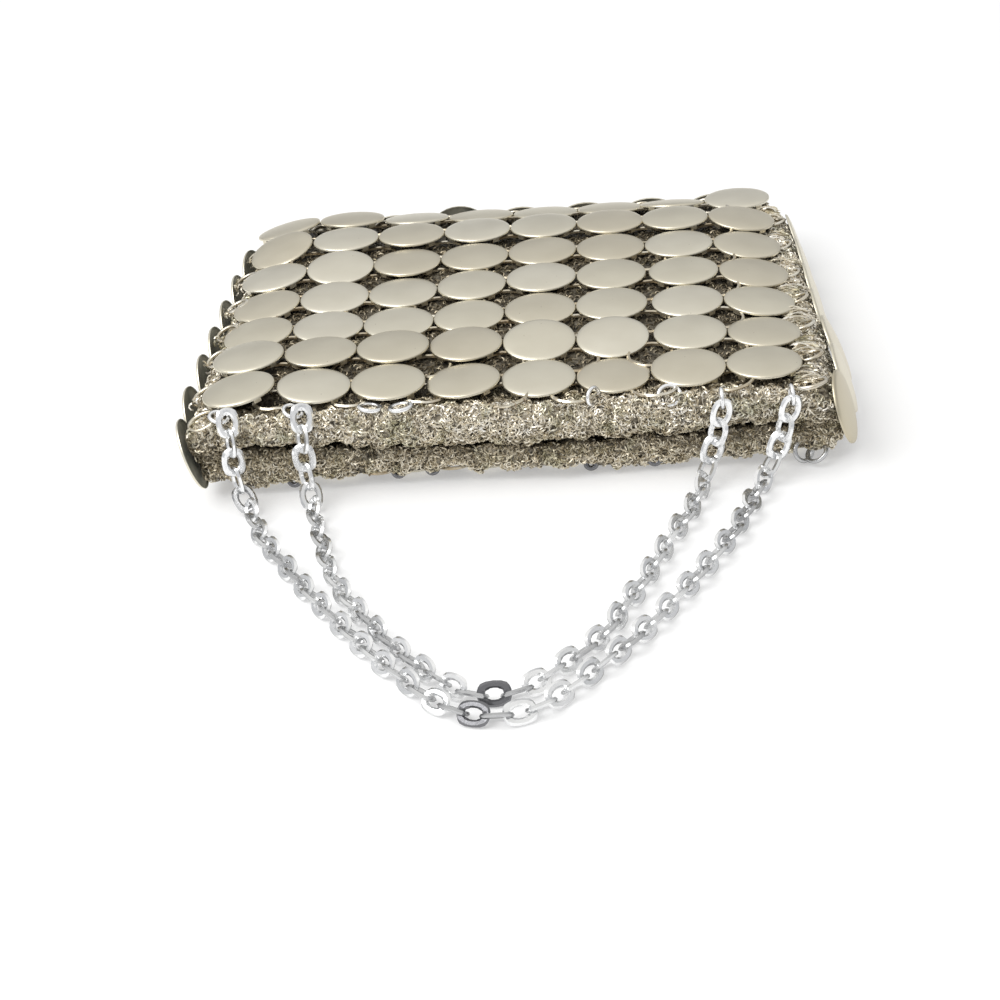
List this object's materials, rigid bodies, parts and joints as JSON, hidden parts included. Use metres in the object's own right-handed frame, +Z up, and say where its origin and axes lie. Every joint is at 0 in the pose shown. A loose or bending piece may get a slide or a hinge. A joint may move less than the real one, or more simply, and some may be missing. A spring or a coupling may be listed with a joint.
{
  "type": "metal disc purse",
  "caption": "Flat crocheted pouch purse covered with a mail of domed champagne metal discs, lying on its back with an open rolled-lip mouth and chain handles laid in front",
  "frame": {"origin": "middle of the footprint of the whole purse with its chains, on the surface it lies on", "axes": "+Z up out of the front panel, +Y from the mouth to the closed end, +X to the right of someone facing the mouth"},
  "size_m": [0.209, 0.3018, 0.0333],
  "materials": {
    "yarn": "crocheted gold and silver metallic yarn with dark crevices",
    "disc_metal": "satin champagne plating with slight tarnish specks",
    "chain_metal": "bright silver plating"
  },
  "bodies": {
    "root": {"pouch": "yarn", "front_discs": "disc_metal", "back_discs": "disc_metal", "bottom_discs": "disc_metal", "left_side_discs": "disc_metal", "right_side_discs": "disc_metal", "outer_chain": "chain_metal", "inner_chain": "chain_metal", "chain_ring_1": "chain_metal", "chain_ring_2": "chain_metal", "chain_ring_3": "chain_metal", "chain_ring_4": "chain_metal"}
  },
  "joints": []
}
